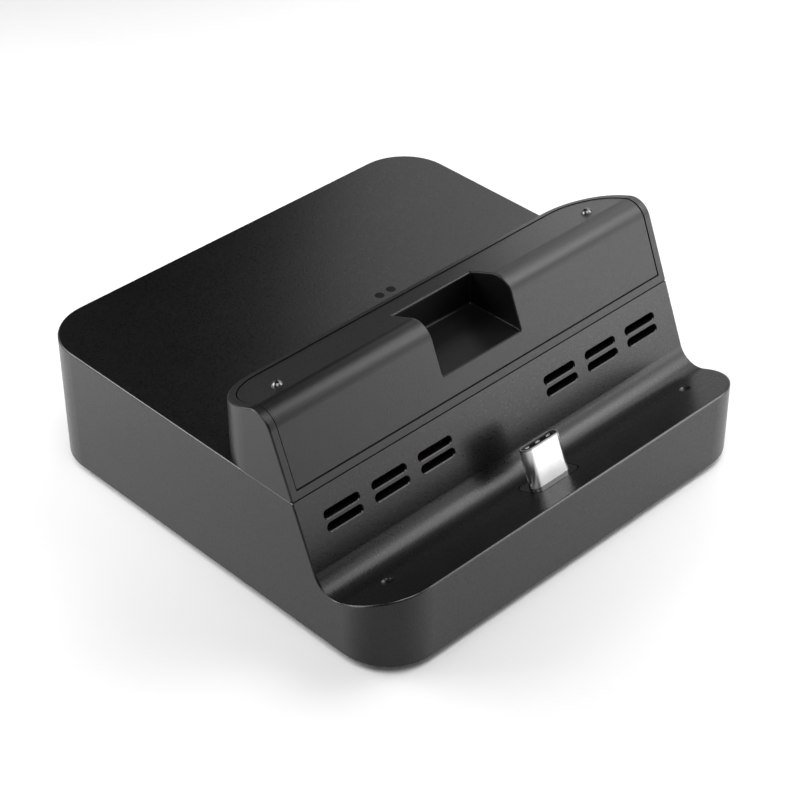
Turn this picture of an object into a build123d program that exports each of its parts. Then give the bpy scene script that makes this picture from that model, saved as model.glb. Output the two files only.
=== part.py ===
from build123d import *
from math import cos, radians, sin, tan
import os

# Handheld console dock: a square case with a leaning seat and an upright plug, and a lift-off cover that
# sits behind the seat as a back rest, or turns over about the seam and closes the seat.
# Millimetres and degrees. +X right, +Y back, +Z up, origin under the middle of the footprint.

# Case
width = 88.0
depth = 86.1
case_height = 24.4
corner_radius = 9.8
wall = 2.0
edge_round = 0.32
base_chamfer = 0.55
fit_gap = 0.2

# Seat: the rest face leans back, and the ledge is square to it. The ledge starts this far behind the front
# and ends this high in the front lip.
lean = 21.75
ledge_setback = 14.59
lip_height = 14.9
ledge_fillet = 4.1

# Vent slots in the rest face, alike on both sides of the plug
slot_length = 7.4
slot_height = 1.35
slot_first_x = 14.8
slot_last_inset = 8.7
slot_columns = 3
slot_first_drop = 4.55
slot_row_pitch = 2.2
slot_rows = 2
slot_bevel = 0.18

# Cover: a tray with an inset panel. Turned over, it ends this far above the ledge.
cover_clearance = 0.6
cover_round = 3.7
cover_floor = 1.4
cover_rim = 1.45
cover_back_rim = 1.35
panel_gap = 0.2
panel_recess = 0.1
groove_height = 0.2
groove_depth = 0.6
panel_wall = 1.5
post_radius = 1.5
post_first_x = 16.3
post_pitch = 10.9
post_behind_seam = 10.4

# Plug pocket in the cover's panel. Its floor clears the plug's tip when the cover is turned over.
pocket_width = 18.3
pocket_depth = 14.0
plug_clearance = 1.2
pocket_wall = 1.2
pocket_fillet = 0.4
pocket_lip_round = 0.3

# Studs on the cover, and the dimples that they meet in the ledge
stud_inset = 8.2
stud_out = 6.7
stud_diameter = 2.05
stud_height = 0.75
stem_radius = 0.7
stem_gap = 0.05
stem_extra = 0.6
dimple_diameter = 2.15
dimple_depth = 0.45

# Magnets
magnet_radius = 3.0
magnet_thickness = 2.0
ledge_magnet_radius = 2.3
ledge_magnet_thickness = 1.5
magnet_behind_seam = 10.4

# Plug and its carrier
plug_x = 0.75
plug_out = 7.0
plug_reach = 6.9
plug_width = 8.3
plug_thickness = 2.5
plug_skin = 0.3
plug_lip_round = 0.12
insert_recess = 0.12
tongue_slot_width = 6.2
tongue_slot_height = 0.9
tongue_slot_depth = 5.2
contact_count = 12
contact_pitch = 0.5
contact_width = 0.25
contact_thickness = 0.06
contact_length = 3.6
spring_count = 3
spring_pitch = 2.5
spring_width = 0.95
spring_depth = 0.06
spring_length = 0.28
spring_thickness = 0.12
collar_width = 10.4
collar_depth = 5.6
collar_corner = 1.75
collar_gap = 0.14
collar_flange = 1.0
plug_gap = 0.06
plug_board_width = 32.0
plug_board_depth = 8.0
plug_board_thickness = 1.2
plug_board_gap = 3.0
plug_boss_x = 12.5
plug_boss_radius = 2.0
plug_pilot_depth = 3.6
ribbon_width = 12.0
ribbon_thickness = 0.3
ribbon_clearance = 0.8
ribbon_bend = 3.0
ribbon_grip = 4.0
ribbon_rise = 5.0

# Bottom cover, feet and case screws
lid_thickness = 2.0
foot_radius = 4.2
foot_recess = 0.6
foot_proud = 1.0
foot_inset = 10.0
foot_round = 0.3
boss_radius = 3.0
front_boss_x = 23.6
front_boss_inset = 8.7
rear_boss_inset = 7.0
rear_boss_y = 20.0
screw_radius = 1.25
screw_head_radius = 2.4
screw_head_height = 1.0
screw_head_sink = 1.2
screw_length = 7.0
screw_gap = 0.05
drive_radius = 0.8
drive_depth = 0.6

# Main board and what stands on it
board_depth = 45.0
board_thickness = 1.6
board_standoff = 3.5
board_gap = 0.6
standoff_radius = 2.6
board_screw_inset = 4.0
board_screw_radius = 1.0
board_screw_head_radius = 1.9
board_screw_head_height = 1.2
board_screw_bite = 3.0
converter_size = 10.0
converter_height = 1.0
chip_gap = 4.0
converter_setback = 24.0
hub_size = 7.0
hub_height = 0.9
hub_inset = 15.0
hub_setback = 18.5
coil_size = 6.0
coil_height = 3.0
coil_core_radius = 2.2
coil_cap_height = 0.6
coil_inset = 15.0
coil_setback = 16.5
capacitor_radius = 2.5
capacitor_height = 5.8
capacitor_pitch = 6.5
capacitor_count = 3
capacitor_inset = 15.0
capacitor_setback = 26.5

# Status lights in the deck, in a row along X
light_y = 9.4
light_first_x = 5.0
light_pitch = 2.7
light_count = 2
window_radius = 0.8
window_gap = 0.05
pipe_flange_radius = 1.25
pipe_flange_height = 0.8
light_width = 1.6
light_depth = 0.8
light_height = 0.6
light_to_pipe = 0.3

# Sockets on the rear edge of the board
socket_margin = 0.9
socket_recess = 0.3
socket_gap = 0.25
socket_back = 1.0
video_width = 15.0
video_height = 5.6
video_length = 11.5
video_bevel = 1.9
video_skin = 0.45
video_tongue_width = 11.4
video_tongue_height = 1.2
data_width = 13.2
data_height = 5.7
data_length = 14.0
data_corner = 0.5
data_skin = 0.35
data_tongue_width = 11.2
data_tongue_height = 1.8
power_width = 8.95
power_height = 3.2
power_length = 8.0
power_skin = 0.3
power_tongue_width = 6.7
power_tongue_height = 0.7
tongue_recess = 1.2
insulator_share = 0.35

# Levels and places that follow from the sizes above
tilt = radians(lean)
case_bottom = foot_proud
deck_z = case_bottom + case_height
lid_top = case_bottom + lid_thickness
board_bottom = lid_top + board_standoff
board_top = board_bottom + board_thickness
front_y = -depth / 2
rear_y = depth / 2
ledge_drop = (case_height - lip_height + ledge_setback * tan(tilt)) / cos(tilt)
seam_setback = ledge_setback + ledge_drop * sin(tilt)
seam_y = front_y + seam_setback
cover_rise = ledge_drop - cover_clearance
panel_rise = cover_rise - panel_recess
pocket_floor = (ledge_drop - plug_reach - plug_clearance) * cos(tilt) - plug_out * sin(tilt)
pocket_back_y = seam_y + pocket_depth
stud_x = width / 2 - stud_inset
reach = width + depth

# The rest plane has X across, Y up the rest face and Z out of it. The section plane has X out and Y up.
rest_plane = Plane(origin=(0, seam_y, deck_z), x_dir=(1, 0, 0), z_dir=(0, -cos(tilt), sin(tilt)))
section_plane = Plane(origin=(0, seam_y, deck_z), x_dir=rest_plane.z_dir, z_dir=(-1, 0, 0))
up_slope = rest_plane.y_dir
plug_plane = Plane(
    origin=rest_plane.from_local_coords((plug_x, -ledge_drop, plug_out)), x_dir=(1, 0, 0), z_dir=up_slope
)
plug_root = wall + plug_board_gap
plug_board_plane = plug_plane.offset(-plug_root)


def slope_height(y, up):
    """Height at y of the plane square to the rest face that lies this far up it from the seam."""
    return deck_z + up / cos(tilt) + (seam_y - y) * tan(tilt)


def section_corner(out, up, sides, radius):
    """Side section that runs far from one rounded corner."""
    with BuildSketch(section_plane) as region:
        with Locations((out, up)):
            Rectangle(reach, reach, align=sides)
        fillet(region.vertices().sort_by_distance((out, up))[0], radius)
    return region.sketch


def cover_plan(side_inset, back_inset, level):
    """Outline of the cover from above, with its two back corners rounded like the case."""
    with BuildSketch(Plane.XY.offset(level)) as plan:
        with Locations((0, seam_y)):
            Rectangle(width - 2 * side_inset, seam_setback - back_inset, align=(Align.CENTER, Align.MIN))
        fillet(plan.vertices().group_by(Axis.Y)[-1], corner_radius - side_inset)
    return plan.sketch


def on_rest_face(edge):
    """Tells whether an edge lies in the rest face."""
    heights = [rest_plane.to_local_coords(point).Z for point in edge.positions([0, 0.5, 1])]
    return max(abs(height) for height in heights) < edge_round / 10


def finish(piece, name):
    """Names a finished piece and writes it."""
    piece.part.label = name
    export_step(piece.part, f"parts/{name}.step")


both_ways = (-1, 1)
os.makedirs("parts", exist_ok=True)

seat_space = section_corner(0, -ledge_drop, (Align.MIN, Align.MIN), ledge_fillet)
seat_lining = section_corner(-wall, -ledge_drop - wall, (Align.MIN, Align.MIN), ledge_fillet + wall)
cover_section = section_corner(0, cover_rise, (Align.MAX, Align.MAX), cover_round)
panel_section = section_corner(
    -panel_recess, panel_rise, (Align.MAX, Align.MAX), cover_round - panel_recess
)
cover_lining = section_corner(
    -panel_wall, cover_rise - panel_wall, (Align.MAX, Align.MAX), cover_round - panel_wall
)

rear_boss_x = width / 2 - rear_boss_inset
boss_places = [(side * front_boss_x, front_y + front_boss_inset) for side in both_ways]
boss_places += [(side * rear_boss_x, rear_boss_y) for side in both_ways]
foot_places = {
    "front_left": (-width / 2 + foot_inset, front_y + foot_inset),
    "front_right": (width / 2 - foot_inset, front_y + foot_inset),
    "rear_left": (-width / 2 + foot_inset, rear_y - foot_inset),
    "rear_right": (width / 2 - foot_inset, rear_y - foot_inset),
}
board_width = 2 * (rear_boss_x - boss_radius - board_gap)
board_rear_y = rear_y - wall - board_gap
board_front_y = board_rear_y - board_depth
board_screw_places = [
    (side * (board_width / 2 - board_screw_inset), y)
    for side in both_ways
    for y in (board_front_y + board_screw_inset, board_rear_y - board_screw_inset)
]
hub_x = hub_inset - board_width / 2
hub_place = (hub_x, board_front_y + hub_setback)
converter_x = hub_x + (hub_size + converter_size) / 2 + chip_gap
converter_place = (converter_x, board_front_y + converter_setback)
coil_place = (board_width / 2 - coil_inset, board_front_y + coil_setback)
capacitor_place = (board_width / 2 - capacitor_inset, board_front_y + capacitor_setback)
light_places = [(light_first_x + i * light_pitch, light_y) for i in range(light_count)]
plug_screw_places = [(side * plug_boss_x, 0) for side in both_ways]
magnet_y = seam_y + magnet_behind_seam
slot_pitch = (width / 2 - slot_last_inset - slot_first_x) / (slot_columns - 1)
slot_places = [
    (side * (slot_first_x + column * slot_pitch), -slot_first_drop - row * slot_row_pitch)
    for side in both_ways
    for column in range(slot_columns)
    for row in range(slot_rows)
]

# Sockets: the place across, seen from the front, and the outer sizes of each shell. The outer two keep clear
# of the board's screws.
socket_pitch = (
    board_width / 2 - board_screw_inset - board_screw_head_radius - socket_margin - data_width / 2
)
sockets = {
    "video": (0.0, video_width, video_height, video_length, video_skin),
    "data": (-socket_pitch, data_width, data_height, data_length, data_skin),
    "power": (socket_pitch, power_width, power_height, power_length, power_skin),
}
tongues = {
    "video": (video_tongue_width, video_tongue_height, video_height / 2),
    "data": (data_tongue_width, data_tongue_height, data_height * 2 / 3),
    "power": (power_tongue_width, power_tongue_height, power_height / 2),
}
mouth_plane = Plane(origin=(0, rear_y - socket_recess, board_top), x_dir=(-1, 0, 0), z_dir=(0, 1, 0))


def socket_outline(kind, grow):
    """Mouth of a socket standing on the board, grown all round."""
    across, outer_width, outer_height, _, _ = sockets[kind]
    with BuildSketch(mouth_plane) as outline:
        with Locations((-across, outer_height / 2)):
            if kind == "power":
                SlotOverall(outer_width + 2 * grow, outer_height + 2 * grow)
            elif kind == "data":
                RectangleRounded(outer_width + 2 * grow, outer_height + 2 * grow, data_corner)
            else:
                Rectangle(outer_width + 2 * grow, outer_height + 2 * grow)
        if kind == "video":
            chamfer(outline.vertices().group_by(Axis.Y)[0], video_bevel)
    return outline.sketch


socket_cuts = [socket_outline(kind, socket_gap) for kind in sockets]

# Inside of the case: the room behind the lining of the seat, without the bosses
with BuildPart() as cavity:
    with BuildSketch(Plane.XY.offset(case_bottom)):
        RectangleRounded(width - 2 * wall, depth - 2 * wall, corner_radius - wall)
    extrude(amount=case_height - wall)
    extrude(seat_lining, amount=reach, both=True, mode=Mode.SUBTRACT)
    with BuildSketch(Plane.XY.offset(lid_top)):
        with Locations(boss_places):
            Circle(boss_radius)
    extrude(amount=case_height, mode=Mode.SUBTRACT)
    with BuildSketch(plug_board_plane):
        with Locations(plug_screw_places):
            Circle(plug_boss_radius)
    extrude(amount=plug_root, mode=Mode.SUBTRACT)

# Case, moulded in one with the seat
with BuildPart() as base_shell:
    with BuildSketch(Plane.XY.offset(case_bottom)):
        RectangleRounded(width, depth, corner_radius)
    extrude(amount=case_height)
    extrude(seat_space, amount=reach, both=True, mode=Mode.SUBTRACT)
    seat_edges = edges(Select.LAST).filter_by(Axis.Z, reverse=True)
    rim = seat_edges.filter_by(Axis.X, reverse=True)
    lip = seat_edges.filter_by(Axis.X).sort_by(Axis.Y)[0]
    deck_edges = faces().sort_by(Axis.Z)[-1].edges().sort_by(Axis.Y)[1:]
    fillet(rim + [lip] + deck_edges, edge_round)
    chamfer(edges().group_by(Axis.Z)[0], base_chamfer)
    add(cavity.part, mode=Mode.SUBTRACT)
    # Vent slots with bevelled mouths
    with BuildSketch(rest_plane):
        with Locations(slot_places):
            SlotOverall(slot_length, slot_height)
    extrude(amount=-2 * wall, mode=Mode.SUBTRACT)
    chamfer(edges(Select.LAST).filter_by(on_rest_face), slot_bevel)
    # Dimples in the ledge
    dimple_sphere = (dimple_diameter**2 / 4 + dimple_depth**2) / (2 * dimple_depth)
    dimple_up = dimple_sphere - dimple_depth - ledge_drop
    dimple_places = [(side * stud_x, dimple_up, stud_out) for side in both_ways]
    with Locations([rest_plane.from_local_coords(place) for place in dimple_places]):
        Sphere(dimple_sphere, mode=Mode.SUBTRACT)
    # Opening for the plug's collar
    with BuildSketch(plug_plane):
        RectangleRounded(collar_width + 2 * collar_gap, collar_depth + 2 * collar_gap, collar_corner)
    extrude(amount=-2 * wall, mode=Mode.SUBTRACT)
    # Windows of the status lights
    with BuildSketch(Plane.XY.offset(deck_z)):
        with Locations(light_places):
            Circle(window_radius + window_gap)
    extrude(amount=-2 * wall, mode=Mode.SUBTRACT)
    # Pilot holes of the case screws and of the plug board's screws
    with BuildSketch(Plane.XY.offset(lid_top)):
        with Locations(boss_places):
            Circle(screw_radius + screw_gap)
    extrude(amount=screw_length, mode=Mode.SUBTRACT)
    with BuildSketch(plug_board_plane):
        with Locations(plug_screw_places):
            Circle(board_screw_radius + screw_gap)
    extrude(amount=plug_pilot_depth, mode=Mode.SUBTRACT)
    # Cut-outs for the sockets in the rear wall
    for cut in socket_cuts:
        extrude(cut, amount=2 * wall, both=True, mode=Mode.SUBTRACT)
finish(base_shell, "base_shell")

# Bottom cover, with the standoffs of the main board
with BuildPart() as bottom_cover:
    lid_inset = wall + fit_gap
    with BuildSketch(Plane.XY.offset(case_bottom)):
        RectangleRounded(width - 2 * lid_inset, depth - 2 * lid_inset, corner_radius - lid_inset)
    extrude(amount=lid_thickness)
    with BuildSketch(Plane.XY.offset(lid_top)):
        with Locations(board_screw_places):
            Circle(standoff_radius)
    extrude(amount=board_standoff)
    with BuildSketch(Plane.XY.offset(board_bottom)):
        with Locations(board_screw_places):
            Circle(board_screw_radius + screw_gap)
    extrude(amount=-board_screw_bite - screw_gap, mode=Mode.SUBTRACT)
    with BuildSketch(Plane.XY.offset(case_bottom)):
        with Locations(list(foot_places.values())):
            Circle(foot_radius + fit_gap)
    extrude(amount=foot_recess, mode=Mode.SUBTRACT)
    with BuildSketch(Plane.XY.offset(case_bottom)):
        with Locations(boss_places):
            Circle(screw_head_radius + fit_gap)
    extrude(amount=screw_head_sink, mode=Mode.SUBTRACT)
    with BuildSketch(Plane.XY.offset(case_bottom)):
        with Locations(boss_places):
            Circle(screw_radius + screw_gap)
    extrude(amount=lid_thickness, mode=Mode.SUBTRACT)
finish(bottom_cover, "bottom_cover")

# Feet: round pads set into the bottom cover
for corner, place in foot_places.items():
    with BuildPart() as foot:
        with BuildSketch(Plane.XY):
            with Locations(place):
                Circle(foot_radius)
        extrude(amount=foot_proud + foot_recess)
        fillet(edges().group_by(Axis.Z)[0], foot_round)
    finish(foot, f"foot_{corner}")

# Case screws, driven up through the bottom cover into the bosses
with BuildPart() as case_screws:
    head_seat = case_bottom + screw_head_sink
    with BuildSketch(Plane.XY.offset(head_seat)):
        with Locations(boss_places):
            Circle(screw_head_radius)
    extrude(amount=-screw_head_height)
    with BuildSketch(Plane.XY.offset(head_seat)):
        with Locations(boss_places):
            Circle(screw_radius)
    extrude(amount=screw_length)
    with BuildSketch(Plane.XY.offset(head_seat - screw_head_height)):
        with Locations(boss_places):
            RegularPolygon(drive_radius, 6)
    extrude(amount=drive_depth, mode=Mode.SUBTRACT)
finish(case_screws, "case_screws")

# Main board
with BuildPart() as main_board:
    with BuildSketch(Plane.XY.offset(board_bottom)):
        with Locations((0, board_rear_y)):
            Rectangle(board_width, board_depth, align=(Align.CENTER, Align.MAX))
        with Locations(board_screw_places):
            Circle(board_screw_radius + screw_gap, mode=Mode.SUBTRACT)
    extrude(amount=board_thickness)
finish(main_board, "main_board")

with BuildPart() as board_screws:
    with BuildSketch(Plane.XY.offset(board_top)):
        with Locations(board_screw_places):
            Circle(board_screw_head_radius)
    extrude(amount=board_screw_head_height)
    with BuildSketch(Plane.XY.offset(board_top)):
        with Locations(board_screw_places):
            Circle(board_screw_radius)
    extrude(amount=-board_thickness - board_screw_bite)
finish(board_screws, "board_screws")

# Chips, coil and capacitors on the board
for name, place, size, height in (
    ("converter_chip", converter_place, converter_size, converter_height),
    ("hub_chip", hub_place, hub_size, hub_height),
):
    with BuildPart() as chip:
        with BuildSketch(Plane.XY.offset(board_top)):
            with Locations(place):
                Rectangle(size, size)
        extrude(amount=height)
    finish(chip, name)

with BuildPart() as power_coil:
    with BuildSketch(Plane.XY.offset(board_top)):
        with Locations(coil_place):
            RectangleRounded(coil_size, coil_size, coil_cap_height)
    extrude(amount=coil_height)
    with BuildSketch(Plane.XY.offset(board_top + coil_cap_height)):
        with Locations(coil_place):
            Circle(coil_size)
            Circle(coil_core_radius, mode=Mode.SUBTRACT)
    extrude(amount=coil_height - 2 * coil_cap_height, mode=Mode.SUBTRACT)
finish(power_coil, "power_coil")

with BuildPart() as capacitors:
    with BuildSketch(Plane.XY.offset(board_top)):
        with Locations(capacitor_place):
            with GridLocations(capacitor_pitch, capacitor_pitch, capacitor_count, 1):
                Circle(capacitor_radius)
    extrude(amount=capacitor_height)
finish(capacitors, "capacitors")

# Status lights on the board, each under a light pipe that ends flush in the deck
for number, place in enumerate(light_places, start=1):
    with BuildPart() as status_light:
        with BuildSketch(Plane.XY.offset(board_top)):
            with Locations(place):
                Rectangle(light_width, light_depth)
        extrude(amount=light_height)
    finish(status_light, f"status_light_{number}")
    with BuildPart() as light_pipe:
        pipe_foot = board_top + light_height + light_to_pipe
        with BuildSketch(Plane.XY.offset(pipe_foot)):
            with Locations(place):
                Circle(window_radius)
        extrude(amount=deck_z - pipe_foot)
        with BuildSketch(Plane.XY.offset(deck_z - wall)):
            with Locations(place):
                Circle(pipe_flange_radius)
        extrude(amount=-pipe_flange_height)
    finish(light_pipe, f"light_pipe_{number}")

# Sockets: a sheet shell, and an insulator that fills its back and carries the tongue
for kind, (across, outer_width, outer_height, length, skin) in sockets.items():
    outer_mouth = socket_outline(kind, 0)
    inner_mouth = socket_outline(kind, -skin)
    with BuildPart() as socket_shell:
        extrude(outer_mouth, amount=-length)
        extrude(inner_mouth, amount=socket_back - length, mode=Mode.SUBTRACT)
    finish(socket_shell, f"{kind}_socket_shell")
    tongue_width, tongue_height, tongue_level = tongues[kind]
    with BuildPart() as socket_tongue:
        extrude(inner_mouth, amount=socket_back - length)
        extrude(inner_mouth, amount=-length * (1 - insulator_share), mode=Mode.SUBTRACT)
        with BuildSketch(mouth_plane.offset(-tongue_recess)):
            with Locations((-across, tongue_level)):
                Rectangle(tongue_width, tongue_height)
        extrude(amount=tongue_recess + socket_back - length)
    finish(socket_tongue, f"{kind}_socket_tongue")

# Plug: a drawn steel shell round a slotted insert
with BuildPart() as plug_shell:
    with BuildSketch(plug_board_plane):
        SlotOverall(plug_width, plug_thickness)
    extrude(amount=plug_root + plug_reach)
    fillet(faces().sort_by(Axis(plug_plane.origin, up_slope))[-1].edges(), plug_lip_round)
    with BuildSketch(plug_board_plane):
        SlotOverall(plug_width - 2 * plug_skin, plug_thickness - 2 * plug_skin)
    extrude(amount=plug_root + plug_reach, mode=Mode.SUBTRACT)
finish(plug_shell, "plug_shell")

insert_top = plug_plane.offset(plug_reach - insert_recess)
with BuildPart() as plug_insert:
    with BuildSketch(plug_board_plane):
        SlotOverall(plug_width - 2 * plug_skin, plug_thickness - 2 * plug_skin)
    extrude(amount=plug_root + plug_reach - insert_recess)
    with BuildSketch(insert_top):
        Rectangle(tongue_slot_width, tongue_slot_height)
    extrude(amount=-tongue_slot_depth, mode=Mode.SUBTRACT)
finish(plug_insert, "plug_insert")

# Contact strips lie on both long sides of the insert's slot
with BuildPart() as plug_contacts:
    contact_row = tongue_slot_height - contact_thickness
    with BuildSketch(insert_top.offset(contact_length - tongue_slot_depth)):
        with GridLocations(contact_pitch, contact_row, contact_count, len(both_ways)):
            Rectangle(contact_width, contact_thickness)
    extrude(amount=-contact_length)
finish(plug_contacts, "plug_contacts")

# Ground springs show inside the plug's mouth, on both long sides of the insert's slot
with BuildPart() as plug_springs:
    spring_row = tongue_slot_height - spring_thickness
    with BuildSketch(insert_top.offset(-spring_depth)):
        with GridLocations(spring_pitch, spring_row, spring_count, len(both_ways)):
            Rectangle(spring_width, spring_thickness)
    extrude(amount=-spring_length)
finish(plug_springs, "plug_springs")

# Collar: fills the ledge's opening round the plug and is clamped by the plug board
with BuildPart() as plug_collar:
    with BuildSketch(plug_plane):
        RectangleRounded(collar_width, collar_depth, collar_corner)
    extrude(amount=-wall)
    with BuildSketch(plug_plane.offset(-wall)):
        RectangleRounded(collar_width + 2 * collar_flange, collar_depth + 2 * collar_flange, collar_corner)
    extrude(amount=-plug_board_gap)
    with BuildSketch(plug_plane):
        SlotOverall(plug_width + 2 * plug_gap, plug_thickness + 2 * plug_gap)
    extrude(amount=-plug_root, mode=Mode.SUBTRACT)
finish(plug_collar, "plug_collar")

with BuildPart() as plug_board:
    with BuildSketch(plug_board_plane):
        Rectangle(plug_board_width, plug_board_depth)
        with Locations(plug_screw_places):
            Circle(board_screw_radius + screw_gap, mode=Mode.SUBTRACT)
    extrude(amount=-plug_board_thickness)
finish(plug_board, "plug_board")

with BuildPart() as plug_screws:
    with BuildSketch(plug_board_plane.offset(-plug_board_thickness)):
        with Locations(plug_screw_places):
            Circle(board_screw_head_radius)
    extrude(amount=-board_screw_head_height)
    with BuildSketch(plug_board_plane.offset(-plug_board_thickness)):
        with Locations(plug_screw_places):
            Circle(board_screw_radius)
    extrude(amount=plug_board_thickness + plug_pilot_depth - screw_gap)
finish(plug_screws, "plug_screws")

# Ribbon: a flat cable along the underside of the plug board, then over the bottom cover to the main board
ribbon_up = -ledge_drop - plug_root - plug_board_thickness - ribbon_thickness / 2
ribbon_start = rest_plane.from_local_coords((plug_x, ribbon_up, plug_out + ribbon_grip / 2))
run_z = lid_top + ribbon_clearance
run_start_y = ribbon_start.Y + (ribbon_start.Z - run_z) / tan(tilt)
board_side_z = board_bottom - ribbon_thickness / 2
with BuildPart() as plug_ribbon:
    with BuildLine() as route:
        FilletPolyline(
            ribbon_start,
            (plug_x, run_start_y, run_z),
            (plug_x, board_front_y - 2 * ribbon_rise, run_z),
            (plug_x, board_front_y - ribbon_rise / 2, board_side_z),
            (plug_x, board_front_y + ribbon_grip, board_side_z),
            radius=ribbon_bend,
        )
    with BuildSketch(Plane(origin=ribbon_start, x_dir=(1, 0, 0), z_dir=route.line % 0)):
        Rectangle(ribbon_width, ribbon_thickness)
    sweep(path=route.line)
finish(plug_ribbon, "plug_ribbon")

# Cover tray: floor, ends and back wall, open to the front and the top, with a fine groove along the seam
with BuildPart() as cover_shell:
    extrude(cover_plan(0, 0, deck_z), amount=reach)
    extrude(cover_section, amount=reach, both=True, mode=Mode.INTERSECT)
    upper_edges = edges().filter_by(Axis.Z, reverse=True) - edges().group_by(Axis.Z)[0]
    back_edge = upper_edges.filter_by(Axis.X).sort_by(Axis.Y)[-1]
    fillet(upper_edges.filter_by(Axis.X, reverse=True) + [back_edge], edge_round)
    tray_room = cover_plan(cover_rim, cover_back_rim, deck_z + cover_floor)
    extrude(tray_room, amount=reach, mode=Mode.SUBTRACT)
    with BuildSketch(Plane.XY.offset(deck_z)):
        with Locations((0, seam_y)):
            Rectangle(reach, 2 * groove_depth)
    extrude(amount=groove_height, mode=Mode.SUBTRACT)
finish(cover_shell, "cover_shell")

# Room behind the panel, without the walls of the plug pocket
pocket_level = Plane.XY.offset(deck_z + pocket_floor)
with BuildPart() as panel_room:
    extrude(cover_lining, amount=reach, both=True)
    with BuildSketch(pocket_level.offset(-pocket_wall)):
        with Locations((0, pocket_back_y + pocket_wall)):
            Rectangle(pocket_width + 2 * pocket_wall, reach, align=(Align.CENTER, Align.MAX))
    extrude(amount=reach, mode=Mode.SUBTRACT)

# Cover panel: the front and top, set back a little in the rim, with the pocket for the plug and posts that
# stand on the tray
with BuildPart() as cover_panel:
    panel_plan = cover_plan(
        cover_rim + panel_gap, cover_back_rim + panel_gap, deck_z + cover_floor + panel_gap
    )
    extrude(panel_plan, amount=reach)
    extrude(panel_section, amount=reach, both=True, mode=Mode.INTERSECT)
    add(panel_room.part, mode=Mode.SUBTRACT)
    with BuildSketch(pocket_level):
        with Locations((0, pocket_back_y)):
            Rectangle(pocket_width, reach, align=(Align.CENTER, Align.MAX))
    extrude(amount=reach, mode=Mode.SUBTRACT)
    # The pocket's inner corners are filleted and its mouth is rounded off
    pocket_edges = edges(Select.LAST).filter_by_position(Axis.X, -pocket_width / 2, pocket_width / 2)
    across_edges = pocket_edges.filter_by(Axis.X)
    along_edges = pocket_edges.filter_by(Axis.Y) + pocket_edges.filter_by(Axis.Z)
    mouth_edges = pocket_edges - along_edges - across_edges
    front_lip = across_edges.sort_by(Axis.Y)[0]
    top_lip = across_edges.sort_by(Axis.Z)[-1]
    inner_edges = pocket_edges - mouth_edges - [front_lip, top_lip]
    fillet(inner_edges, pocket_fillet)
    fillet(mouth_edges + [front_lip, top_lip], pocket_lip_round)
    post_y = seam_y + post_behind_seam
    post_xs = [side * (post_first_x + i * post_pitch) for side in both_ways for i in (0, 1)]
    post_top = slope_height(post_y, cover_rise - panel_wall / 2)
    with BuildSketch(Plane.XY.offset(deck_z + cover_floor)):
        with Locations([(x, post_y) for x in post_xs]):
            Circle(post_radius)
    extrude(amount=post_top - deck_z - cover_floor)
    with BuildSketch(Plane(rest_plane.from_local_coords((0, panel_rise, -stud_out)), (1, 0, 0), up_slope)):
        with Locations([(side * stud_x, 0) for side in both_ways]):
            Circle(stem_radius + stem_gap)
    extrude(amount=-2 * panel_wall, mode=Mode.SUBTRACT)
finish(cover_panel, "cover_panel")

# Pieces that come in left and right pairs
for side, hand in ((-1, "left"), (1, "right")):
    stud_foot = rest_plane.from_local_coords((side * stud_x, panel_rise, -stud_out))
    stud_plane = Plane(stud_foot, (1, 0, 0), up_slope)
    with BuildPart() as cover_stud:
        stud_sphere = (stud_diameter**2 / 4 + stud_height**2) / (2 * stud_height)
        with Locations(stud_plane.offset(stud_height - stud_sphere)):
            Sphere(stud_sphere)
        split(bisect_by=stud_plane, keep=Keep.TOP)
        with BuildSketch(stud_plane):
            Circle(stem_radius)
        extrude(amount=-panel_wall - stem_extra)
    finish(cover_stud, f"cover_stud_{hand}")

    with BuildPart() as ledge_magnet:
        under_ledge = rest_plane.from_local_coords((side * stud_x, -ledge_drop - wall, stud_out))
        with BuildSketch(Plane(under_ledge, (1, 0, 0), up_slope)):
            Circle(ledge_magnet_radius)
        extrude(amount=-ledge_magnet_thickness)
    finish(ledge_magnet, f"ledge_magnet_{hand}")

    with BuildPart() as deck_magnet:
        with BuildSketch(Plane.XY.offset(deck_z - wall)):
            with Locations((side * stud_x, magnet_y)):
                Circle(magnet_radius)
        extrude(amount=-magnet_thickness)
    finish(deck_magnet, f"deck_magnet_{hand}")

    with BuildPart() as cover_magnet:
        with BuildSketch(Plane.XY.offset(deck_z + cover_floor)):
            with Locations((side * stud_x, magnet_y)):
                Circle(magnet_radius)
        extrude(amount=magnet_thickness)
    finish(cover_magnet, f"cover_magnet_{hand}")
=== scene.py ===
import math

import bpy
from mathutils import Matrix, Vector


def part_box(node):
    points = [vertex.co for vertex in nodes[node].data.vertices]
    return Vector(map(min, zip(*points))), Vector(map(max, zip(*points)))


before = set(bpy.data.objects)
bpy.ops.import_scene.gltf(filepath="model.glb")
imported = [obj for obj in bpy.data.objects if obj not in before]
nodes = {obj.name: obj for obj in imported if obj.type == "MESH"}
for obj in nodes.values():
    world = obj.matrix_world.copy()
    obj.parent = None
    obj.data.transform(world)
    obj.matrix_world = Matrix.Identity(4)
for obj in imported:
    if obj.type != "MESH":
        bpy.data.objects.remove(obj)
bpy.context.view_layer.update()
scene = bpy.context.scene
scene.view_settings.view_transform = "Standard"

# Camera at the photograph's viewing angle, in metres and degrees, with the lens in millimetres
camera_azimuth = -44.49
camera_elevation = 36.76
camera_distance = 0.39853
camera_target = Vector((0.006811, 0.003173, 0.005697))
camera_lens = 101.06
camera_shift_x = -0.0154
camera_shift_y = -0.0034

# Floor of pale paper and black world, so that only the lamps give light
floor_size = 4.0
floor_grey = 0.96
floor_grey_spread = 0.01
floor_cloud_size = 0.05
floor_rough = 0.9
world_grey = 0.0

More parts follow.
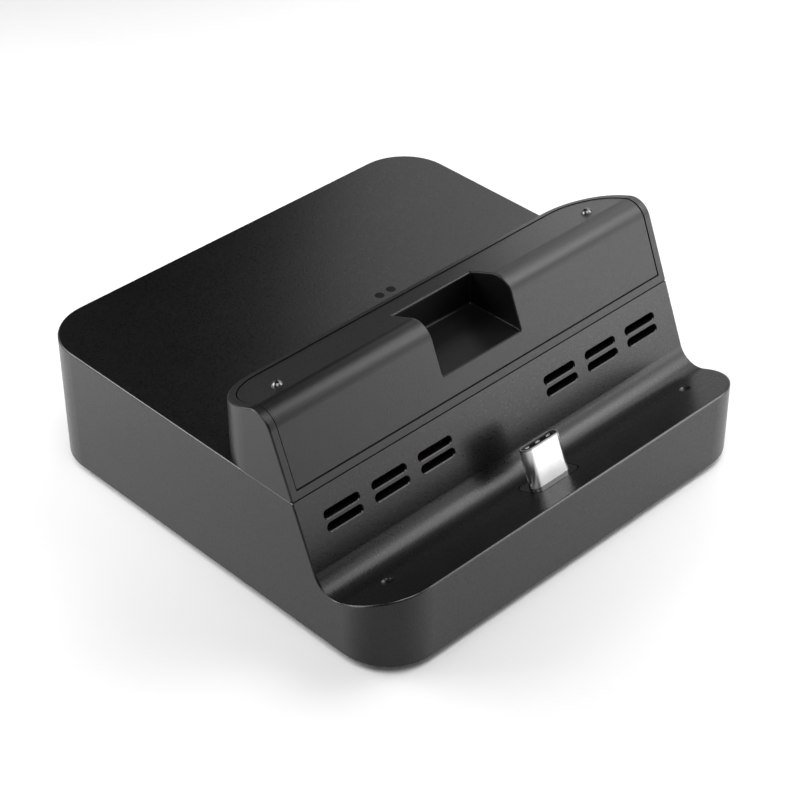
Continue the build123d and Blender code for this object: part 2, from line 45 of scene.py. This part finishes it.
# Soft lamps: azimuth, elevation, distance, width, height, and radiance in steps of a half
lamp_target = Vector((0, 0, 0.02))
lamps = {
    "overhead": (-45, 72, 1.2, 0.7, 0.7, 4.0),
    "left_low": (-105, 10, 0.25, 0.13, 0.085, 3.5),
    "left_back": (-135, 34, 0.25, 0.16, 0.12, 6.0),
    "back_left": (-165, 34, 0.25, 0.16, 0.12, 1.0),
    "right_back": (120, 34, 0.25, 0.16, 0.12, 1.0),
    "right_back_low": (120, 8, 0.25, 0.16, 0.06, 1.0),
    "right": (105, 34, 0.25, 0.16, 0.12, 0.5),
    "right_high": (75, 55, 0.18, 0.16, 0.08, 1.5),
    "right_front_high": (60, 58, 0.25, 0.14, 0.14, 2.0),
    "right_front": (65, 34, 0.25, 0.11, 0.12, 2.0),
    "front_right": (45, 34, 0.25, 0.16, 0.12, 1.5),
    "front_right_low": (45, 10, 0.25, 0.13, 0.085, 3.0),
    "front_low": (15, 8, 0.25, 0.16, 0.06, 1.5),
}

# Black plastic of the case and its cover: greys, roughness, refractive index, and grain size and depth
plastic_dark = 0.0035
plastic_light = 0.0045
base_rough = 0.3
cover_rough = 0.36
plastic_ior = 1.55
plastic_grain_size = 0.0004
plastic_grain_depth = 0.000014

# Gloss of most plastic, of the corners, ledge and plug pocket dulled as painted shade, and of the edges
# raised as painted highlights
usual_gloss = 0.5
corner_shade_gloss = 0.27
ledge_shade_gloss = 0.16
pocket_shade_gloss = 0.18
lip_highlight_gloss = 1.0
deck_edge_highlight_gloss = 0.75

# Upright corners of the case, dulled as painted shade: the cosines between which they go from usual gloss
# to dull
corner_bright = 0.75
corner_dull = 0.97

# Seat, whose ledge and fillet are dulled as painted shade: the direction that its ledge faces, the highest
# dull place along it, and the cosines between which the fillet goes from usual gloss to dull
seat_up = Vector((0, 0.37056, 0.92881))
seat_top = 0.0004
fillet_bright = 0.82
fillet_dull = 0.98

# Lip, whose edge gets a painted highlight from raised gloss: the direction that its edge faces, the highest
# place of that painted highlight along the seat's direction, and the cosines between which the edge goes
# from usual gloss to the highlight's gloss
lip_out = Vector((0, -0.64, 0.768))
lip_top = -0.0012
lip_start = 0.8
lip_full = 0.9

# Deck: how far below its top the painted highlight on its edge reaches, and the upward slopes between which
# that painted highlight comes in and goes out
deck_edge = 0.0005
edge_start = 0.45
edge_full = 0.6
edge_last = 0.85
edge_end = 0.95

# Plug pocket, dulled as painted shade: its half width, its back and its floor
pocket_half = 0.0092
pocket_back = -0.0083
pocket_floor = 0.0305

# Distance over which the gloss changes at such a place
gloss_edge = 0.0001

# Plug: where the painted shade that darkens its rim starts and ends along the seat's direction, the grey of
# that painted shade, and how far its highlights are stretched
rim_shade_start = 0.0054
rim_shade_end = 0.0056
rim_shade_grey = 0.25
plug_streak = 0.85

# Variation within a material: size of cloudy spots, and how far roughness varies to each side
cloud_size = 0.012
smudge_size = 0.002
moulded_spread = 0.04
metal_spread = 0.03
patterned_spread = 0.05

# Board tracks and ribbon conductors
track_pitch = 0.0028
track_randomness = 0.7
conductor_pitch = 0.001

# Blender's wave texture turns by this many radians per unit of its scale
wave_turn = 20


def direction(azimuth, elevation):
    """Unit vector from the object at an azimuth, 0 at the front and 90 at the right, and an elevation."""
    turn = math.radians(azimuth)
    rise = math.radians(elevation)
    return Vector((math.sin(turn) * math.cos(rise), -math.cos(turn) * math.cos(rise), math.sin(rise)))


def aim(item, place, target):
    """Puts a camera or a lamp at a place, looking at a target."""
    item.location = place
    item.rotation_euler = (target - place).to_track_quat("-Z", "Y").to_euler()


def grey(value):
    """A neutral colour."""
    return (value, value, value)


def new_material(name):
    """A node material: the material, its tree, its shader and the coordinates for its textures."""
    material = bpy.data.materials.new(name)
    material.use_nodes = True
    tree = material.node_tree
    coords = tree.nodes.new("ShaderNodeTexCoord").outputs["Object"]
    return material, tree, tree.nodes["Principled BSDF"], coords


def noise(tree, coords, size, detail=2.0):
    """Noise with spots of about this size."""
    node = tree.nodes.new("ShaderNodeTexNoise")
    node.inputs["Scale"].default_value = 1 / size
    node.inputs["Detail"].default_value = detail
    tree.links.new(coords, node.inputs["Vector"])
    return node.outputs["Fac"]


def stretched(tree, coords, scale):
    """Coordinates scaled by axis, for brushed or drawn grain."""
    node = tree.nodes.new("ShaderNodeMapping")
    node.inputs["Scale"].default_value = scale
    tree.links.new(coords, node.inputs["Vector"])
    return node.outputs["Vector"]


def conductors(tree, coords):
    """Even bands across the X axis, like the conductors in a flat cable."""
    node = tree.nodes.new("ShaderNodeTexWave")
    node.wave_type = "BANDS"
    node.bands_direction = "X"
    node.inputs["Scale"].default_value = math.tau / wave_turn / conductor_pitch
    tree.links.new(coords, node.inputs["Vector"])
    return node.outputs["Fac"]


def tracks(tree, coords):
    """Thin lines between cells, like the tracks on a board."""
    node = tree.nodes.new("ShaderNodeTexVoronoi")
    node.feature = "DISTANCE_TO_EDGE"
    node.inputs["Scale"].default_value = 1 / track_pitch
    node.inputs["Randomness"].default_value = track_randomness
    tree.links.new(coords, node.inputs["Vector"])
    return node.outputs["Distance"]


def mapped(tree, factor, low, high, from_low=0.3, from_high=0.7):
    """A factor brought into a range."""
    node = tree.nodes.new("ShaderNodeMapRange")
    node.inputs["From Min"].default_value = from_low
    node.inputs["From Max"].default_value = from_high
    node.inputs["To Min"].default_value = low
    node.inputs["To Max"].default_value = high
    tree.links.new(factor, node.inputs["Value"])
    return node.outputs["Result"]


def colour_between(tree, shader, factor, dark, light, start=0.3, end=0.7):
    """Base colour that varies between two colours."""
    ramp = tree.nodes.new("ShaderNodeValToRGB")
    ramp.color_ramp.elements[0].position = start
    ramp.color_ramp.elements[1].position = end
    ramp.color_ramp.elements[0].color = (*dark, 1)
    ramp.color_ramp.elements[1].color = (*light, 1)
    tree.links.new(factor, ramp.inputs["Fac"])
    tree.links.new(ramp.outputs["Color"], shader.inputs["Base Color"])


def vary_rough(tree, shader, factor, rough, spread):
    """Roughness that varies to both sides of a value."""
    tree.links.new(mapped(tree, factor, rough - spread, rough + spread), shader.inputs["Roughness"])


def raise_grain(tree, shader, height, depth):
    """Bump of this depth in metres."""
    node = tree.nodes.new("ShaderNodeBump")
    node.inputs["Distance"].default_value = depth
    tree.links.new(height, node.inputs["Height"])
    tree.links.new(node.outputs["Normal"], shader.inputs["Normal"])


def ramp_along(tree, vector, axis, start, end):
    """Factor that goes from 0 to 1 between two places along an axis."""
    node = tree.nodes.new("ShaderNodeVectorMath")
    node.operation = "DOT_PRODUCT"
    node.inputs[1].default_value = axis
    tree.links.new(vector, node.inputs[0])
    return mapped(tree, node.outputs["Value"], 0.0, 1.0, start, end)


def grade_gloss(material, gloss, *ramps):
    """Changes the gloss where all ramps are 1. A ramp has its coordinates, an axis, a start and an end."""
    tree = material.node_tree
    coords = tree.nodes["Texture Coordinate"]
    socket = tree.nodes["Principled BSDF"].inputs["Specular IOR Level"]
    factors = [ramp_along(tree, coords.outputs[kind], axis, start, end) for kind, axis, start, end in ramps]
    factor = factors[0]
    for other in factors[1:]:
        product = tree.nodes.new("ShaderNodeMath")
        product.operation = "MULTIPLY"
        tree.links.new(factor, product.inputs[0])
        tree.links.new(other, product.inputs[1])
        factor = product.outputs["Value"]
    graded = mapped(tree, factor, socket.default_value, gloss, 0.0, 1.0)
    if socket.links:
        tree.links.new(socket.links[0].from_socket, graded.node.inputs["To Min"])
    tree.links.new(graded, socket)


def shade_end(material, axis, start, end, colour):
    """Changes the base colour beyond a place along an axis."""
    tree = material.node_tree
    coords = tree.nodes["Texture Coordinate"].outputs["Object"]
    socket = tree.nodes["Principled BSDF"].inputs["Base Color"]
    blend = tree.nodes.new("ShaderNodeMixRGB")
    blend.inputs["Color2"].default_value = (*colour, 1)
    tree.links.new(ramp_along(tree, coords, axis, start, end), blend.inputs["Fac"])
    tree.links.new(socket.links[0].from_socket, blend.inputs["Color1"])
    tree.links.new(blend.outputs["Color"], socket)


def streak_shine(material, strength):
    """Stretches a metal's highlights around the X axis, as drawing does."""
    tree = material.node_tree
    shader = tree.nodes["Principled BSDF"]
    shader.inputs["Anisotropic"].default_value = strength
    tangent = tree.nodes.new("ShaderNodeTangent")
    tangent.direction_type = "RADIAL"
    tangent.axis = "X"
    tree.links.new(tangent.outputs["Tangent"], shader.inputs["Tangent"])


def moulded(name, dark, light, rough, grain_size, grain_depth, ior=1.5, gloss=usual_gloss):
    """Moulded plastic or rubber with a fine eroded grain and faint cloudy variation."""
    material, tree, shader, coords = new_material(name)
    shader.inputs["IOR"].default_value = ior
    shader.inputs["Specular IOR Level"].default_value = gloss
    grain = noise(tree, coords, grain_size)
    colour_between(tree, shader, noise(tree, coords, cloud_size), dark, light)
    vary_rough(tree, shader, grain, rough, moulded_spread)
    raise_grain(tree, shader, grain, grain_depth)
    return material


def case_plastic(name, rough):
    """Black plastic of the case and its cover."""
    return moulded(
        name, dark=grey(plastic_dark), light=grey(plastic_light), rough=rough,
        grain_size=plastic_grain_size, grain_depth=plastic_grain_depth, ior=plastic_ior,
    )


def metal(name, dark, light, rough, grain_size, grain_depth, stretch=(1, 1, 1)):
    """Metal with drawn, brushed or plated grain."""
    material, tree, shader, coords = new_material(name)
    shader.inputs["Metallic"].default_value = 1.0
    grain = noise(tree, stretched(tree, coords, stretch), grain_size, detail=3.0)
    colour_between(tree, shader, grain, dark, light)
    vary_rough(tree, shader, grain, rough, metal_spread)
    raise_grain(tree, shader, grain, grain_depth)
    return material


def patterned(name, pattern, dark, light, start, end, rough):
    """Smooth piece with a drawn pattern in its colour."""
    material, tree, shader, coords = new_material(name)
    colour_between(tree, shader, pattern(tree, coords), dark, light, start, end)
    vary_rough(tree, shader, noise(tree, coords, smudge_size), rough, patterned_spread)
    return material


def dress(material, *names):
    """Gives a material to CAD nodes."""
    for name in names:
        piece = nodes[name]
        piece.data.materials.clear()
        piece.data.materials.append(material)


# Case and cover
dress(case_plastic("case_texture", cover_rough), "bottom_cover", "cover_shell")
base_texture = case_plastic("base_texture", base_rough)
# Painted shade: the upright corners of the case are dulled
for corner_out in ((1, 1, 0), (1, -1, 0), (-1, 1, 0), (-1, -1, 0)):
    corner_axis = Vector(corner_out).normalized()
    grade_gloss(base_texture, corner_shade_gloss, ("Normal", corner_axis, corner_bright, corner_dull))
# Painted shade: the ledge and its fillet are dulled
grade_gloss(
    base_texture, ledge_shade_gloss,
    ("Normal", seat_up, fillet_bright, fillet_dull),
    ("Object", seat_up, seat_top + gloss_edge, seat_top),
)
# Painted highlight: the lip's edge is made glossier
grade_gloss(
    base_texture, lip_highlight_gloss,
    ("Normal", lip_out, lip_start, lip_full),
    ("Object", seat_up, lip_top, lip_top - gloss_edge),
)
# Painted highlight: the deck's edges are made glossier
deck_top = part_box("base_shell")[1][2]
grade_gloss(
    base_texture, deck_edge_highlight_gloss,
    ("Normal", (0, 0, 1), edge_start, edge_full),
    ("Normal", (0, 0, 1), edge_end, edge_last),
    ("Object", (0, 0, 1), deck_top - deck_edge - gloss_edge, deck_top - deck_edge),
)
dress(base_texture, "base_shell")
panel_texture = case_plastic("panel_texture", cover_rough)
# Painted shade: the plug pocket is dulled
grade_gloss(
    panel_texture, pocket_shade_gloss,
    ("Object", (1, 0, 0), pocket_half + gloss_edge, pocket_half),
    ("Object", (-1, 0, 0), pocket_half + gloss_edge, pocket_half),
    ("Object", (0, 1, 0), pocket_back + gloss_edge, pocket_back),
    ("Object", (0, 0, 1), pocket_floor - gloss_edge, pocket_floor),
)
dress(panel_texture, "cover_panel")

# Smaller moulded pieces
collar_texture = moulded(
    "collar_texture", dark=grey(0.004), light=grey(0.006), rough=0.16, grain_size=0.0003,
    grain_depth=0.000004, gloss=0.3,
)
dress(collar_texture, "plug_collar")
rubber = moulded(
    "rubber", dark=grey(0.012), light=grey(0.02), rough=0.75, grain_size=0.0004, grain_depth=0.00002,
)
dress(rubber, "foot_front_left", "foot_front_right", "foot_rear_left", "foot_rear_right")
connector_black = moulded(
    "connector_black", dark=grey(0.006), light=grey(0.01), rough=0.45, grain_size=0.0003,
    grain_depth=0.000004,
)
dress(connector_black, "plug_insert", "video_socket_tongue", "data_socket_tongue", "power_socket_tongue")
chip_resin = moulded(
    "chip_resin", dark=grey(0.018), light=grey(0.026), rough=0.55, grain_size=0.0002, grain_depth=0.000006,
)
dress(chip_resin, "converter_chip", "hub_chip", "power_coil")
smoked_guide = moulded(
    "smoked_guide", dark=grey(0.0015), light=grey(0.0025), rough=0.3, grain_size=0.0005,
    grain_depth=0.000002, gloss=0.1,
)
dress(smoked_guide, "light_pipe_1", "light_pipe_2")
light_lens = moulded(
    "light_lens", dark=(0.62, 0.6, 0.5), light=(0.8, 0.78, 0.68), rough=0.2, grain_size=0.0005,
    grain_depth=0.000002,
)
dress(light_lens, "status_light_1", "status_light_2")

# Metal pieces
plug_steel = metal(
    "bright_plate", dark=grey(0.88), light=grey(0.94), rough=0.4, grain_size=0.0004, grain_depth=0.000002,
    stretch=(1, 1, 0.2),
)
streak_shine(plug_steel, plug_streak)
# Painted shade: the plug's rim is darkened in its base colour
shade_end(plug_steel, seat_up, rim_shade_start, rim_shade_end, grey(rim_shade_grey))
dress(plug_steel, "plug_shell", "plug_springs")
stud_steel = metal(
    "dark_polish", dark=grey(0.12), light=grey(0.16), rough=0.26, grain_size=0.0004, grain_depth=0.000001,
)
dress(stud_steel, "cover_stud_left", "cover_stud_right")
socket_steel = metal(
    "socket_plate", dark=grey(0.55), light=grey(0.65), rough=0.28, grain_size=0.0004, grain_depth=0.000004,
    stretch=(1, 0.15, 1),
)
dress(socket_steel, "video_socket_shell", "data_socket_shell", "power_socket_shell")
screw_steel = metal(
    "black_screw", dark=grey(0.09), light=grey(0.13), rough=0.35, grain_size=0.0004, grain_depth=0.000005,
)
dress(screw_steel, "case_screws", "board_screws", "plug_screws")
contact_gold = metal(
    "contact_plate", dark=(0.75, 0.52, 0.2), light=(0.85, 0.62, 0.28), rough=0.22, grain_size=0.0003,
    grain_depth=0.000002, stretch=(1, 1, 0.3),
)
dress(contact_gold, "plug_contacts")
can_metal = metal(
    "can_metal", dark=grey(0.6), light=grey(0.7), rough=0.3, grain_size=0.0006, grain_depth=0.000004,
    stretch=(1, 1, 0.1),
)
dress(can_metal, "capacitors")
magnet_plate = metal(
    "magnet_plate", dark=grey(0.58), light=grey(0.66), rough=0.18, grain_size=0.0008, grain_depth=0.000002,
)
dress(
    magnet_plate, "ledge_magnet_left", "ledge_magnet_right", "deck_magnet_left", "deck_magnet_right",
    "cover_magnet_left", "cover_magnet_right",
)

# Boards and flat cable
board_mask = patterned(
    "board_mask", tracks, dark=(0.03, 0.14, 0.06), light=(0.012, 0.065, 0.03), start=0.03, end=0.06,
    rough=0.35,
)
dress(board_mask, "main_board", "plug_board")
flat_cable = patterned(
    "flat_cable", conductors, dark=(0.3, 0.15, 0.03), light=(0.5, 0.27, 0.08), start=0.4, end=0.6,
    rough=0.4,
)
dress(flat_cable, "plug_ribbon")

camera = bpy.data.objects.new("camera", bpy.data.cameras.new("camera"))
scene.collection.objects.link(camera)
camera.data.lens = camera_lens
camera.data.shift_x = camera_shift_x
camera.data.shift_y = camera_shift_y
aim(camera, camera_target + camera_distance * direction(camera_azimuth, camera_elevation), camera_target)
scene.camera = camera

floor_mesh = bpy.data.meshes.new("floor")
half_floor = floor_size / 2
floor_corners = [(x * half_floor, y * half_floor, 0) for x, y in ((-1, -1), (1, -1), (1, 1), (-1, 1))]
floor_mesh.from_pydata(floor_corners, [], [(0, 1, 2, 3)])
floor = bpy.data.objects.new("floor", floor_mesh)
scene.collection.objects.link(floor)
floor_material, floor_tree, floor_shader, floor_coords = new_material("floor_paper")
floor_shader.inputs["Roughness"].default_value = floor_rough
floor_shader.inputs["Specular IOR Level"].default_value = 0.0
floor_clouds = noise(floor_tree, floor_coords, floor_cloud_size)
floor_dark = grey(floor_grey - floor_grey_spread)
colour_between(floor_tree, floor_shader, floor_clouds, floor_dark, grey(floor_grey))
floor_mesh.materials.append(floor_material)

world = bpy.data.worlds.new("studio")
scene.world = world
world.use_nodes = True
world.node_tree.nodes["Background"].inputs["Color"].default_value = (*grey(world_grey), 1)

for name, (azimuth, elevation, distance, width, height, radiance) in lamps.items():
    lamp = bpy.data.objects.new(name, bpy.data.lights.new(name, "AREA"))
    scene.collection.objects.link(lamp)
    lamp.data.shape = "RECTANGLE"
    lamp.data.size = width
    lamp.data.size_y = height
    lamp.data.energy = math.pi * width * height * radiance
    lamp.visible_camera = False
    aim(lamp, distance * direction(azimuth, elevation), lamp_target)
